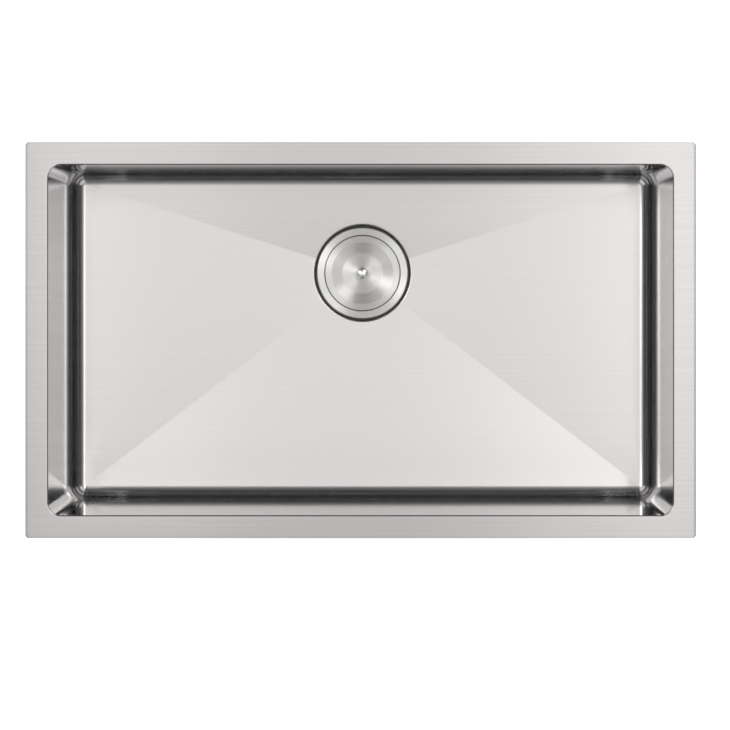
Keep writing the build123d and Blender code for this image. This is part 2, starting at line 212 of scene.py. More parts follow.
class Wire:
    """A value in a node tree: sums and products of it add Math nodes, and node() adds any other node."""

    def __init__(self, tree, socket=None):
        self.tree = tree
        self.socket = socket

    def node(self, kind, settings=(), inputs=(), output=0):
        made = self.tree.nodes.new(kind)
        for name, value in dict(settings).items():
            setattr(made, name, value)
        for name, value in dict(inputs).items():
            for each in value if isinstance(value, list) else [value]:
                if isinstance(each, Wire):
                    self.tree.links.new(each.socket, made.inputs[name])
                else:
                    made.inputs[name].default_value = each
        return Wire(self.tree, made.outputs[output])

    def other(self, output):
        """Another output of the same node."""
        return Wire(self.tree, self.socket.node.outputs[output])

    def math(self, operation, *values):
        return self.node("ShaderNodeMath", {"operation": operation}, dict(enumerate(values)))

    def __add__(self, value):
        return self.math("ADD", self, value)

    __radd__ = __add__

    def __sub__(self, value):
        return self.math("SUBTRACT", self, value)

    def __rsub__(self, value):
        return self.math("SUBTRACT", value, self)

    def __mul__(self, value):
        return self.math("MULTIPLY", self, value)

    __rmul__ = __mul__

    def __truediv__(self, value):
        return self.math("DIVIDE", self, value)

    def __rtruediv__(self, value):
        return self.math("DIVIDE", value, self)

    def __abs__(self):
        return self.math("ABSOLUTE", self)

    def sign(self):
        return self.math("SIGN", self)

    def step(self, low, high):
        """Rises smoothly from 0 at low to 1 at high."""
        return self.node("ShaderNodeMapRange", {"interpolation_type": "SMOOTHSTEP"},
                         {"Value": self, "From Min": low, "From Max": high})

    def curve(self, marks):
        """A smooth curve through marks, each an angle in degrees and a value; the angle comes in radians."""
        top = max(value for angle, value in marks)
        drawn = self.node("ShaderNodeValToRGB", inputs={0: self / pi + 0.5})
        ramp = drawn.socket.node.color_ramp
        ramp.interpolation = "EASE"
        ramp.elements.remove(ramp.elements[1])
        for number, (angle, value) in enumerate(marks):
            stop = ramp.elements.new(angle / 180 + 0.5) if number else ramp.elements[0]
            stop.position = angle / 180 + 0.5
            stop.color = (*[value / top] * 3, 1)
        return drawn * top

    def vector(self, x, y, z):
        return self.node("ShaderNodeCombineXYZ", inputs={"X": x, "Y": y, "Z": z})

    def split(self):
        x = self.node("ShaderNodeSeparateXYZ", inputs={"Vector": self})
        return x, x.other("Y"), x.other("Z")

    def noise(self, place, scale, detail=2.0, roughness=0.5):
        return self.node("ShaderNodeTexNoise", inputs={
            "Vector": place, "Scale": scale, "Detail": detail, "Roughness": roughness})

    def drawn_noise(self, x, y, seed, detail=2.0, roughness=0.5):
        """Noise about 0, drawn out by the scales of x and y; each seed gives another."""
        return self.noise(self.vector(x, y, seed), 1, detail, roughness) - 0.5

    def tint(self, amount, first, second):
        """Blend of two colours."""
        return self.node("ShaderNodeMix", {"data_type": "RGBA"}, {0: amount, 6: first, 7: second}, 2)

    def shades(self, amount, base, first, second):
        """Blend of two shades of one colour."""
        return self.tint(amount, shade(base, first), shade(base, second))

    def geo(self, kind, settings=(), **inputs):
        """A geometry node, with underscores for the spaces in its inputs' names."""
        named = {name.replace("_", " "): value for name, value in inputs.items()}
        return self.node("GeometryNode" + kind, settings, named)

    def bump(self, height, strength, distance):
        return self.node("ShaderNodeBump", inputs={
            "Height": height, "Strength": strength, "Distance": distance})


def shade(base, factor):
    """A colour made lighter or darker, as a shader takes it."""
    return (*(min(1.0, part * factor) for part in base), 1.0)


def new_finish(name):
    """An empty material, the start of its node tree, and the place on the piece in metres."""
    material = bpy.data.materials.new(name)
    material.use_nodes = True
    start = Wire(material.node_tree)
    return material, start, start.node("ShaderNodeTexCoord", output="Object")


def feed(material, **values):
    """Link or set the sockets of a material's shader."""
    sockets = material.node_tree.nodes["Principled BSDF"].inputs
    for name, value in values.items():
        socket = sockets[name.replace("_", " ").title()]
        if isinstance(value, Wire):
            value.tree.links.new(value.socket, socket)
        else:
            socket.default_value = value
    return material


def satin_steel(finishes, name="satin_steel", coat=None):
    """Sheet steel brushed along the sink; with a coat, sprayed over below the rim."""
    material, start, place = new_finish(name)
    sizes = bpy.context.scene.sink_bowl
    x, y, z = place.split()
    normal_x, normal_y, _ = place.other("Normal").split()
    end_wall = abs(normal_x).step(0.55, 0.85)
    long_wall = abs(normal_y).step(0.80, 0.98)
    rim = z.step(-sizes.sheet, -sizes.sheet / 4)
    across = y + y.sign() * (z + sizes.wall_depth) * (1 - end_wall)
    along = x * (1 - end_wall) + z * end_wall
    hair = start.drawn_noise(along * 9, across * 1500, 0, 3, 0.6)
    streak = start.drawn_noise(along * 1.6, across * 400, 3, 3, 0.6) * (1 - rim * 0.5)
    cloud = start.drawn_noise(along * 3, across * 8, 7)
    # Painted shade: the rim is drawn 0.26 darker and the end walls 0.1 darker than the same steel elsewhere.
    # Hair, streak and cloud are the brushing's own grain.
    level = hair * 0.1 + streak * (rim * 0.08 + 0.14) + cloud * 0.08 + 1 - rim * 0.26 - end_wall * 0.1
    brightest = 1.2
    base = start.shades(level / brightest, finishes.steel, 0, brightest)
    rough = finishes.steel_roughness + hair * 0.07 + streak * 0.05 + cloud * 0.03
    rough = rough * (1 - long_wall * 0.7 - end_wall * 0.3 - rim * 0.25)
    grain = start.bump(hair * 0.6 + streak * 0.4, 0.05, 0.00005)
    metal = 1.0
    if coat:
        edge = start.noise(place, 160, 3, 0.6)
        covered = (z + (edge - 0.5) * 0.004).step(-0.005, -0.009)
        peel = start.noise(place, 900, 3, 0.55)
        mottle = start.noise(place, 14, 3, 0.6)
        base = start.tint(covered, base, start.shades(mottle * 0.6 + peel * 0.4, coat, 0.90, 1.12))
        rough = rough * (1 - covered) + (0.62 + peel * 0.2) * covered
        metal = 1 - covered
        grain = start.bump(peel * covered, 0.35, 0.0003)
    return feed(material, base_color=base, metallic=metal, roughness=rough, normal=grain,
                anisotropic=0.0 if coat else finishes.steel_brush)


def spun_steel(finishes):
    """Steel brushed in circles round the drain."""
    material, start, place = new_finish("spun_steel")
    x, y, z = place.split()
    off = y - drain_y
    span = x * x + off * off
    radius = span.math("SQRT", span)
    ringed = radius + z * 0.7
    turn = off.math("ARCTAN2", off, x)
    groove = start.drawn_noise(ringed * 2600, turn * 0.8, 0, 2, 0.6)
    band = start.drawn_noise(ringed * 520, turn * 0.4, 5)
    base = start.shades(groove * 0.5 + band * 0.6 + 0.5, finishes.spun, 0.84, 1.14)
    # Painted shadow: a dark ring round the lid's edge, on the lid's rim and on the flange beside it. The
    # grooves and bands are the spinning's own marks.
    edge_shadow = abs(radius - finishes.edge_shadow_radius).step(0.0010, 0.0004)
    flange = radius.step(finishes.edge_shadow_radius, finishes.edge_shadow_radius + 0.001)
    return feed(material, base_color=start.tint(edge_shadow, base, shade(finishes.spun, 0.35)), metallic=1.0,
                roughness=finishes.spun_roughness - flange * 0.04 + groove * 0.16 + band * 0.10,
                normal=start.bump(groove * 0.6 + band * 0.4, 0.12, 0.00005),
                anisotropic=finishes.spun_brush, anisotropic_rotation=0.25)


def bright_metal(name, base, roughness, uneven):
    """Polished or plated metal with faint smears."""
    material, start, place = new_finish(name)
    smear = start.noise(place, 60, 4, 0.6)
    speck = start.noise(place, 900)
    return feed(material, base_color=start.shades(smear, base, 0.95, 1.04), metallic=1.0,
                roughness=roughness + (smear - 0.45) * uneven + (speck - 0.5) * uneven * 0.5,
                normal=start.bump(speck, 0.02, 0.00003))


def moulded_rubber(name, base, pit_scale):
    """Matt rubber with fine pits and a little chalky bloom."""
    material, start, place = new_finish(name)
    pits = start.noise(place, pit_scale, 3, 0.65)
    bloom = start.noise(place, 22, 4, 0.6)
    return feed(material, base_color=start.shades(bloom.step(0.45, 0.8), base, 0.9, 1.7),
                roughness=0.70 + (pits - 0.5) * 0.25 + (bloom - 0.5) * 0.15,
                normal=start.bump(pits, 0.45, 0.0004))


def cast_zinc(finishes):
    """Die-cast zinc: dull, with flow marks and a fine grain."""
    material, start, place = new_finish("cast_zinc")
    grain = start.noise(place, 1600, 2, 0.6)
    flow = start.noise(place, 55, 4, 0.65)
    return feed(material, base_color=start.shades(flow * 0.7 + grain * 0.3, finishes.zinc, 0.82, 1.12),
                metallic=1.0, roughness=0.42 + (grain - 0.5) * 0.2 + (flow - 0.5) * 0.15,
                normal=start.bump(grain * 0.5 + flow * 0.5, 0.2, 0.0002))


def white_plastic(finishes):
    """Moulded plastic with a faint mould texture and a little dirt."""
    material, start, place = new_finish("white_plastic")
    skin = start.noise(place, 1300)
    dirt = start.noise(place, 40, 4, 0.6)
    return feed(material, base_color=start.shades(dirt.step(0.4, 0.8), finishes.plastic, 1.0, 0.90),
                roughness=0.40 + (skin - 0.5) * 0.12 + (dirt - 0.5) * 0.1,
                normal=start.bump(skin, 0.08, 0.0001))


def pressed_fibre(finishes):
    """Card-like washer with short fibres."""
    material, start, place = new_finish("pressed_fibre")
    x, y, z = place.split()
    strands = start.noise(start.vector(x * 2200, y * 500, z * 900), 1, 3, 0.65)
    strands_across = start.noise(start.vector(x * 450, y * 2100, z * 900), 1, 3, 0.65)
    weave = strands * 0.5 + strands_across * 0.5
    return feed(material, base_color=start.shades(weave, finishes.fibre, 0.75, 1.25), roughness=0.9,
                normal=start.bump(weave, 0.4, 0.0002))


def finish_for(slot):
    """The material that stands for a slot of the record, made once."""
    if slot in bpy.data.materials and bpy.data.materials[slot].get("made_here"):
        return bpy.data.materials[slot]
    finishes = bpy.context.scene.sink_finishes
    makers = {
        "satin_steel": lambda: satin_steel(finishes),
        "undercoat": lambda: satin_steel(finishes, "undercoat", finishes.undercoat),
        "spun_steel": lambda: spun_steel(finishes),
        "polished_steel": lambda: bright_metal("polished_steel", finishes.polished, 0.20, 0.06),
        "plated_brass": lambda: bright_metal("plated_brass", finishes.chrome, 0.08, 0.07),
        "pad_rubber": lambda: moulded_rubber("pad_rubber", finishes.pad, 1100),
        "black_rubber": lambda: moulded_rubber("black_rubber", finishes.rubber, 1700),
        "cast_zinc": lambda: cast_zinc(finishes),
        "white_plastic": lambda: white_plastic(finishes),
        "fibre": lambda: pressed_fibre(finishes),
    }
    if slot in bpy.data.materials:
        bpy.data.materials[slot].name = "plain_" + slot
    material = makers[slot]()
    material.name = slot
    material["made_here"] = True
    return material


# Meshes

SHARP_ANGLE = 35
TOUCHING = 1e-7


def new_piece(name, shape, *slots):
    """A new object from a bmesh, with the finishes of these slots."""
    mesh = bpy.data.meshes.new(name)
    shape.to_mesh(mesh)
    shape.free()
    for slot in slots:
        mesh.materials.append(finish_for(slot))
    piece = bpy.data.objects.new(name, mesh)
    bpy.context.scene.collection.objects.link(piece)
    return piece


def soften(piece, width, segments=3, angle=30):
    """Round the sharp edges of a piece."""
    bevel = piece.modifiers.new("edges", "BEVEL")
    bevel.width = width
    bevel.segments = segments
    bevel.limit_method = "ANGLE"
    bevel.angle_limit = radians(angle)


def shade_smooth(mesh):
    """Shade a mesh smooth but for its sharp edges."""
    mesh.shade_smooth()
    mesh.set_sharp_from_angle(angle=radians(SHARP_ANGLE))


def hand_over(piece, body, slot, *nodes):
    """Keep what the modifiers give as the piece's mesh; it rides its body and stands for its CAD nodes."""
    weighted = piece.modifiers.new("shading", "WEIGHTED_NORMAL")
    weighted.keep_sharp = True
    weighted.weight = 100
    shade_smooth(piece.data)
    bpy.context.view_layer.update()
    graph = bpy.context.evaluated_depsgraph_get()
    mesh = bpy.data.meshes.new_from_object(
        piece.evaluated_get(graph), preserve_all_data_layers=True, depsgraph=graph)
    piece.modifiers.clear()
    piece.data = mesh
    if not mesh.polygons:
        raise RuntimeError(f"{piece.name} came out empty")
    shade_smooth(mesh)
    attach(piece, body)
    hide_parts(*nodes)


def rounded_copy(node, body, slot, name, width, segments=3):
    """A CAD node again, with its edges rounded."""
    shape = bmesh.new()
    shape.from_mesh(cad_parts[node].data)
    bmesh.ops.remove_doubles(shape, verts=shape.verts, dist=2e-6)
    bmesh.ops.dissolve_limit(shape, angle_limit=radians(1.0), verts=shape.verts, edges=shape.edges)
    for face in shape.faces:
        face.material_index = 0
    piece = new_piece(name, shape, slot)
    soften(piece, width, segments)
    hand_over(piece, body, slot, node)


def merged(*shapes):
    """One bmesh of several closed ones."""
    whole = bmesh.new()
    for shape in shapes:
        mesh = bpy.data.meshes.new("part")
        shape.to_mesh(mesh)
        shape.free()
        whole.from_mesh(mesh)
        bpy.data.meshes.remove(mesh)
    return whole


def parts(steps):
    """Even shares from 0 to 1."""
    return [step / steps for step in range(steps + 1)]


def round_drain(radius, turn):
    """Place at a radius and turn from the drain's axis."""
    return radius * cos(turn), drain_y + radius * sin(turn)


def bent(start, corner, end, part):
    """Point of a smooth bend from start to end that the corner pulls out."""
    return start * (1 - part) ** 2 + corner * (2 * part * (1 - part)) + end * part ** 2


def rounded_path(corners, radii, steps=7):
    """Points of a path whose inner corners are rounded, each with the direction to its left."""
    corners = [Vector(corner) for corner in corners]

    def left_of(start, end):
        run = (end - start).normalized()
        return Vector((-run.y, run.x))

    path = [(corners[0], left_of(corners[0], corners[1]))]
    for before, corner, after, radius in zip(corners, corners[1:], corners[2:], radii):
        back = (before - corner).normalized()
        ahead = (after - corner).normalized()
        half = back.angle(ahead) / 2
        middle = corner + (back + ahead).normalized() * radius / sin(half)
        start = corner + back * radius / tan(half) - middle
        end = corner + ahead * radius / tan(half) - middle
        sweep = start.angle(end)
        inward = -1 if left_of(before, corner).dot(ahead) > 0 else 1
        for part in parts(steps):
            spoke = (start * sin((1 - part) * sweep) + end * sin(part * sweep)) / sin(sweep)
            path.append((middle + spoke, spoke.normalized() * inward))
    path.append((corners[-1], left_of(corners[-2], corners[-1])))
    return path


def sheet_outline(thickness, corners, radii, steps=7):
    """Outline of a drawn sheet whose upper face follows the corners from the outer edge inwards."""
    path = rounded_path(corners, radii, steps)
    return [point for point, left in path] + [point + left * thickness for point, left in reversed(path)]


def bar_outline(corners, radii, steps=5):
    """Outline of a turned bar, from its lower end on the axis to its upper end on the axis."""
    return [point for point, left in rounded_path(corners, radii, steps)]


def ring_outline(corners, radii, steps=4):
    """Outline of a turned ring, whose last corner is its first again."""
    return bar_outline(corners, radii, steps)[:-1]


def bridge(shape, first, second):
    """Join two closed rows of points by faces."""
    for place in range(len(first)):
        after = (place + 1) % len(first)
        corners = dict.fromkeys((first[place], first[after], second[after], second[place]))
        if len(corners) > 2:
            shape.faces.new(corners)


def turned_skin(outline, turns=128, ring=True):
    """A closed skin turned round the drain's axis; a ring's outline is closed, a bar's ends on the axis."""
    shape = bmesh.new()
    rows = []
    for radius, level in outline:
        if radius < TOUCHING:
            rows.append([shape.verts.new((0, drain_y, level))] * turns)
        else:
            rows.append([shape.verts.new((*round_drain(radius, 2 * pi * turn / turns), level))
                         for turn in range(turns)])
    if ring:
        rows.append(rows[0])
    for low, high in zip(rows, rows[1:]):
        bridge(shape, low, high)
    bmesh.ops.remove_doubles(shape, verts=shape.verts, dist=TOUCHING)
    bmesh.ops.recalc_face_normals(shape, faces=shape.faces)
    return shape


def bar_box(shape, low, high):
    """Add a plain closed block to a bmesh."""
    made = bmesh.ops.create_cube(shape, size=1)["verts"]
    low, high = Vector(low), Vector(high)
    for vert in made:
        vert.co = (low + high) / 2 + Vector(a * b for a, b in zip(vert.co, high - low))


# Geometry node trees

def new_tree(name, **sizes):
    """An empty tree with a geometry, named sizes and a material as inputs."""
    tree = bpy.data.node_groups.new(name, "GeometryNodeTree")
    tree.interface.new_socket("Geometry", in_out="INPUT", socket_type="NodeSocketGeometry")
    for label, default in sizes.items():
        kind = "NodeSocketInt" if isinstance(default, int) else "NodeSocketFloat"
        socket = tree.interface.new_socket(label.replace("_", " "), in_out="INPUT", socket_type=kind)
        socket.default_value = default
    tree.interface.new_socket("Material", in_out="INPUT", socket_type="NodeSocketMaterial")
    tree.interface.new_socket("Geometry", in_out="OUTPUT", socket_type="NodeSocketGeometry")
    entry = Wire(tree).node("NodeGroupInput")
    names = [socket.name for socket in entry.socket.node.outputs if socket.name]
    return entry, {name: entry.other(name) for name in names}


def end_tree(start, sizes, shape, cut=False):
    """Close a tree: the shape is cut out of the piece or added to it, and the whole gets its material."""
    if cut:
        tool = start.geo("RealizeInstances", Geometry=shape)
        both = start.geo("MeshBoolean", {"operation": "DIFFERENCE", "solver": "EXACT"},
                         Mesh_1=sizes["Geometry"], Mesh_2=tool)
    else:
        both = start.geo("JoinGeometry", Geometry=[sizes["Geometry"], shape])
    real = start.geo("RealizeInstances", Geometry=both)
    dressed = start.geo("SetMaterial", Geometry=real, Material=sizes["Material"])
    start.tree.links.new(dressed.socket, start.tree.nodes.new("NodeGroupOutput").inputs["Geometry"])
    return start.tree


def grow(piece, tree, slot, **sizes):
    """Add a tree to a piece, with its sizes set by the sockets' identifiers."""
    modifier = piece.modifiers.new(tree.name, "NODES")
    modifier.node_group = tree
    values = {label.replace("_", " "): value for label, value in sizes.items()}
    values.update({"Drain": drain_y, "Material": finish_for(slot)})
    for socket in tree.interface.items_tree:
        if socket.item_type == "SOCKET" and socket.in_out == "INPUT" and socket.name in values:
            modifier[socket.identifier] = values.pop(socket.name)
    if values:
        raise RuntimeError(f"{tree.name} has no input named {sorted(values)}")


def placed(start, sizes, shape, aside=0, turn=(0, 0, 0)):
    """A shape moved to the drain's axis, or aside from it, and to its level."""
    return start.geo("Transform", Geometry=shape, Rotation=turn,
                     Translation=start.vector(aside, sizes["Drain"], sizes["Level"]))


def copies_round_drain(start, sizes, shape):
    """Instances of a shape in a circle round the drain's axis."""
    points = start.geo("Points", Count=sizes["Count"])
    copies = start.geo("InstanceOnPoints", Points=points, Instance=shape)
    turn = start.geo("InputIndex") * (2 * pi) / sizes["Count"]
    return start.geo("RotateInstances", Instances=copies, Rotation=start.vector(0, 0, turn),
                     Pivot_Point=start.vector(0, sizes["Drain"], 0), Local_Space=False)


def ring_of_bars(name, cut):
    """Tree: round-ended bars across a ring, cut out of the piece or added to it."""
    start, sizes = new_tree(name, Count=24, Width=0.0024, Height=0.02, Reach=0.01, Corner=0.001,
                            Ring_Radius=0.04, Level=0.0, Drain=0.0)
    outline = start.geo("CurvePrimitiveQuadrilateral", Width=sizes["Width"], Height=sizes["Height"])
    rounded = start.geo("FilletCurve", {"mode": "POLY"}, Curve=outline, Radius=sizes["Corner"],
                        Limit_Radius=True, Count=6)
    face = start.geo("FillCurve", {"mode": "NGONS"}, Curve=rounded)
    body = start.geo("ExtrudeMesh", Mesh=face, Offset_Scale=sizes["Reach"])
    back = start.geo("FlipFaces", Mesh=face)
    closed = start.geo("JoinGeometry", Geometry=[body, back])
    welded = start.geo("MergeByDistance", Geometry=closed, Distance=1e-6)
    centred = start.geo("Transform", Geometry=welded, Translation=start.vector(0, 0, sizes["Reach"] * -0.5))
    bar = placed(start, sizes, centred, sizes["Ring Radius"], (pi / 2, 0, pi / 2))
    return end_tree(start, sizes, copies_round_drain(start, sizes, bar), cut)


def rings_of_holes(name, rings):
    """Tree: rings of round holes through the piece, spaced by a pitch."""
    start, sizes = new_tree(name, Hole_Radius=0.002, First_Ring=0.014, Ring_Step=0.0065, Pitch=0.01,
                            Depth=0.004, Level=0.0, Drain=0.0)
    drill = start.geo("MeshCylinder", {"fill_type": "NGON"}, Vertices=24, Radius=sizes["Hole Radius"],
                      Depth=sizes["Depth"])
    drills = []
    for ring in range(rings):
        radius = sizes["First Ring"] + sizes["Ring Step"] * ring
        pairs = radius.math("ROUND", radius * pi / sizes["Pitch"])
        circle = start.geo("MeshCircle", Vertices=pairs * 2, Radius=radius)
        # A small turn keeps the drill's corners off the edges of the turned skin
        drills.append(start.geo("InstanceOnPoints", Points=circle, Instance=drill, Rotation=(0, 0, 0.05)))
    joined = start.geo("JoinGeometry", Geometry=drills)
    return end_tree(start, sizes, placed(start, sizes, joined), True)


def winding_thread(name):
    """Tree: a thread wound round a tube of the piece."""
    start, sizes = new_tree(name, Radius=0.043, Height=0.02, Pitch=0.0025, Crest=0.001, Level=0.0, Drain=0.0)
    path = start.geo("CurveSpiral", Resolution=72, Rotations=sizes["Height"] / sizes["Pitch"],
                     Start_Radius=sizes["Radius"], End_Radius=sizes["Radius"], Height=sizes["Height"])
    upright = start.geo("SetCurveNormal", {"mode": "Z_UP"}, Curve=path)
    ridge = start.geo("CurvePrimitiveCircle", Resolution=4, Radius=sizes["Crest"])
    wound = start.geo("CurveToMesh", Curve=upright, Profile_Curve=ridge, Fill_Caps=True)
    return end_tree(start, sizes, placed(start, sizes, wound))


def ring_of_ribs(name):
    """Tree: upright half-round ribs in a ring, added to the piece."""
    start, sizes = new_tree(name, Count=12, Rib_Radius=0.0025, Height=0.02, Ring_Radius=0.028, Level=0.0,
                            Drain=0.0)
    post = start.geo("MeshCylinder", {"fill_type": "NGON"}, Vertices=32, Radius=sizes["Rib Radius"],
                     Depth=sizes["Height"])
    rib = placed(start, sizes, post, sizes["Ring Radius"])
    return end_tree(start, sizes, copies_round_drain(start, sizes, rib))


# The bowl's skin

CORNER_STEPS = 12
SIDE_STEPS = {"end": 24, "long": 36}
CREASE_GAPS = (0.012, 0.006, 0.004, 0.0025, 0.0014, 0.0007)
RIM_MARGIN = 0.003
RIM_BEND_STEPS = 7
WALL_PARTS = (0.03, 0.35, 0.7, 0.97)
FOOT_BEND_STEPS = 14
FLOOR_PARTS = (0.03, 0.06, 0.3, 0.55, 0.8, 0.93, 0.97, 1.0)
LIP_STEPS = 6
SEAT_FILLET = 0.0009
SEAT_FILLET_STEPS = 5
SEAT_RADII = (0.0562, 0.047)
SLOPE_ROUNDS = 6


class BowlPlan:
    """Rings of points from the rim's outer edge in and down to the drain hole."""

    def __init__(self, sizes):
        self.sizes = sizes
        self.open_x = sizes.half_length - sizes.rim_strip
        self.open_y = sizes.half_width - sizes.rim_strip
        self.drain_level = -sizes.wall_depth - sizes.floor_fall
        self.slope_end = self.slope(self.open_x)
        self.slope_front = self.slope(self.open_y + drain_y - sizes.wall_draft)
        self.slope_back = self.slope(self.open_y - drain_y - sizes.wall_draft)

    def slope(self, reach):
        """Rise of one facet for each metre away from the drain, where it meets its bend smoothly."""
        bend = self.sizes.foot_bend
        slope = 0.0
        for _ in range(SLOPE_ROUNDS):
            lean = atan(slope)
            rise = self.sizes.floor_fall + bend * (1 - cos(lean))
            slope = rise / (reach - bend * (1 - sin(lean)))
        return slope

    def rise(self, x, y):
        """Height of the facets above the drain's level."""
        return max(abs(x) * self.slope_end, (drain_y - y) * self.slope_front, (y - drain_y) * self.slope_back)

    def ring(self, half_x, half_y, corner, level):
        """Rounded rectangle, anticlockwise from the front end of the right side."""
        points = []
        for side in range(4):
            across = side % 2 == 0
            steps = SIDE_STEPS["end" if across else "long"]
            run = (half_y if across else half_x) - corner
            for step in range(steps):
                along = run * (2 * step / steps - 1)
                x, y = (half_x, along) if across else (-along, half_y)
                points.append((x, y) if side < 2 else (-x, -y))
            turn = side * pi / 2
            for step in range(CORNER_STEPS):
                a = turn + pi / 2 * step / CORNER_STEPS
                cx = (half_x - corner) * (1, -1, -1, 1)[side]
                cy = (half_y - corner) * (1, 1, -1, -1)[side]
                points.append((cx + corner * cos(a), cy + corner * sin(a)))
        return [(x, y, level) for x, y in points]

    def leans(self):
        """The facet's lean at each point of a ring, blended round the corners."""
        sides = [atan(s) for s in (self.slope_end, self.slope_back, self.slope_end, self.slope_front)]
        leans = []
        for side in range(4):
            leans += [sides[side]] * SIDE_STEPS["long" if side % 2 else "end"]
            after = sides[(side + 1) % 4]
            change = (after - sides[side]) / CORNER_STEPS
            leans += [sides[side] + change * step for step in range(CORNER_STEPS)]
        return leans

    def crease_marks(self):
        """Points of the floor's edge and of the recess for each place of a ring, with the creases kept."""
        bend = self.sizes.foot_bend
        end_x = self.open_x - bend * (1 - sin(atan(self.slope_end)))
        back_y = self.open_y - self.sizes.wall_draft - bend * (1 - sin(atan(self.slope_back)))
        front_y = -self.open_y + self.sizes.wall_draft + bend * (1 - sin(atan(self.slope_front)))
        corners = [(end_x, front_y), (end_x, back_y), (-end_x, back_y), (-end_x, front_y)]
        widest = CREASE_GAPS[0]
        edge, turns = [], []
        recess = self.sizes.seat_radius
        for side in range(4):
            start, end = Vector(corners[side]), Vector(corners[(side + 1) % 4])
            run = (end - start).normalized()
            first = atan2(start.y - drain_y, start.x)
            last = atan2(end.y - drain_y, end.x)
            if last < first:
                last += 2 * pi
            steps = SIDE_STEPS["long" if side % 2 else "end"]
            low, high = start + run * widest, end - run * widest
            low_turn, high_turn = first + widest / recess, last - widest / recess
            for step in range(steps):
                edge.append(low.lerp(high, step / steps))
                turns.append(low_turn + (high_turn - low_turn) * step / steps)
            for gap in CREASE_GAPS:
                edge.append(end - run * gap)
                turns.append(last - gap / recess)
            onward = Vector(corners[(side + 2) % 4]) - end
            for gap in (0.0, *reversed(CREASE_GAPS[1:])):
                edge.append(end + onward.normalized() * gap)
                turns.append(last + gap / recess)
        return edge, turns

    def lip(self, turn):
        """Radius and height at the recess's sharp upper edge, and the facet's lean there."""
        sizes = self.sizes
        rise = self.rise(cos(turn), drain_y + sin(turn))
        deep = self.drain_level - sizes.seat_level
        radius = (sizes.seat_radius + sizes.recess_flare * deep) / (1 - sizes.recess_flare * rise)
        return Vector((radius, self.drain_level + radius * rise)), atan(rise)

    def side_rings(self):
        """Rings of the rim, its bend, the walls and the bend at their foot."""
        sizes, corner = self.sizes, self.sizes.opening_corner
        bend, foot, draft = sizes.rim_bend, sizes.foot_bend, sizes.wall_draft
        inner = bend + RIM_MARGIN
        rings = [
            self.ring(sizes.half_length, sizes.half_width, sizes.rim_corner, 0),
            self.ring(sizes.half_length - RIM_MARGIN, sizes.half_width - RIM_MARGIN, sizes.rim_corner, 0),
            self.ring(self.open_x + inner, self.open_y + inner, corner + inner, 0),
        ]
        for part in parts(RIM_BEND_STEPS):
            a = pi / 2 * part
            out = bend * (1 - sin(a))
            rings.append(self.ring(self.open_x + out, self.open_y + out, corner + out, -bend * (1 - cos(a))))
        bend_top = -sizes.wall_depth + foot
        for part in WALL_PARTS:
            level = -bend + (bend_top + bend) * part
            lean_in = draft * level / -sizes.wall_depth
            rings.append(self.ring(self.open_x, self.open_y - lean_in, corner, level))
        leans = self.leans()
        for part in parts(FOOT_BEND_STEPS):
            ring = []
            for place, lean in enumerate(leans):
                a = (pi / 2 - lean) * part
                inset = foot * (1 - cos(a))
                half_x, half_y = self.open_x - inset, self.open_y - draft - inset
                x, y, _ = self.ring(half_x, half_y, corner - inset, 0)[place]
                ring.append((x, y, bend_top - foot * sin(a)))
            rings.append(ring)
        return rings

    def drain_rings(self):
        """Rings of the floor's facets, the recess's lip and wall, and the seat in to the drain hole."""
        sizes = self.sizes
        edge, turns = self.crease_marks()
        wall = atan2(1, sizes.recess_flare)
        upward = Vector((cos(wall), sin(wall)))
        lips = []
        for turn in turns:
            sharp, lean = self.lip(turn)
            reach = sizes.recess_lip * tan((wall - lean) / 2)
            lips.append((sharp + Vector((cos(lean), sin(lean))) * reach, sharp, sharp - upward * reach))
        rings = []
        for part in FLOOR_PARTS:
            ring = []
            for outer, turn, (up, _, _) in zip(edge, turns, lips):
                x, y = outer.lerp(Vector(round_drain(up.x, turn)), part)
                ring.append((x, y, self.drain_level + self.rise(x, y)))
            rings.append(ring)
        for part in parts(LIP_STEPS)[1:]:
            bend = [bent(*lip, part) for lip in lips]
            rings.append([(*round_drain(place.x, turn), place.y) for turn, place in zip(turns, bend)])
        heel = Vector((sizes.seat_radius, sizes.seat_level))
        above, inside = heel + upward * SEAT_FILLET, heel - Vector((SEAT_FILLET, 0))
        profile = [bent(above, heel, inside, part) for part in parts(SEAT_FILLET_STEPS)]
        profile += [(radius, sizes.seat_level) for radius in (*SEAT_RADII, sizes.hole_radius)]
        for radius, level in profile:
            rings.append([(*round_drain(radius, turn), level) for turn in turns])
        return rings


class SINK_OT_make_bowl(bpy.types.Operator):
    """Fold the bowl from its rim down to the drain hole"""

    bl_idname = "sink.make_bowl"
    bl_label = "Bowl"

    def execute(self, context):
        sizes = context.scene.sink_bowl
        shape = bmesh.new()
        plan = BowlPlan(sizes)
        rows = [[shape.verts.new(point) for point in ring] for ring in plan.side_rings() + plan.drain_rings()]
        for outer, inner in zip(rows, rows[1:]):
            bridge(shape, outer, inner)
        shape.normal_update()
        shape.faces.ensure_lookup_table()
        if shape.faces[0].normal.z < 0:
            bmesh.ops.reverse_faces(shape, faces=shape.faces)
        bowl = new_piece("bowl_steel", shape, "satin_steel", "undercoat")
        wall = bowl.modifiers.new("sheet", "SOLIDIFY")
        wall.thickness = sizes.sheet
        wall.offset = -1
        wall.use_even_offset = True
        wall.material_offset = 1
        wall.material_offset_rim = 0
        soften(bowl, sizes.cut_edge, segments=2, angle=50)
        hand_over(bowl, "sink", "satin_steel", "bowl")
        # Brushing turns round the middle of this space, and from so far away it runs straight
        bowl.data.use_auto_texspace = False
        bowl.data.texspace_location = (1e4, 0, 0)
        bowl.data.texspace_size = (1, 1, 1)
        return {"FINISHED"}


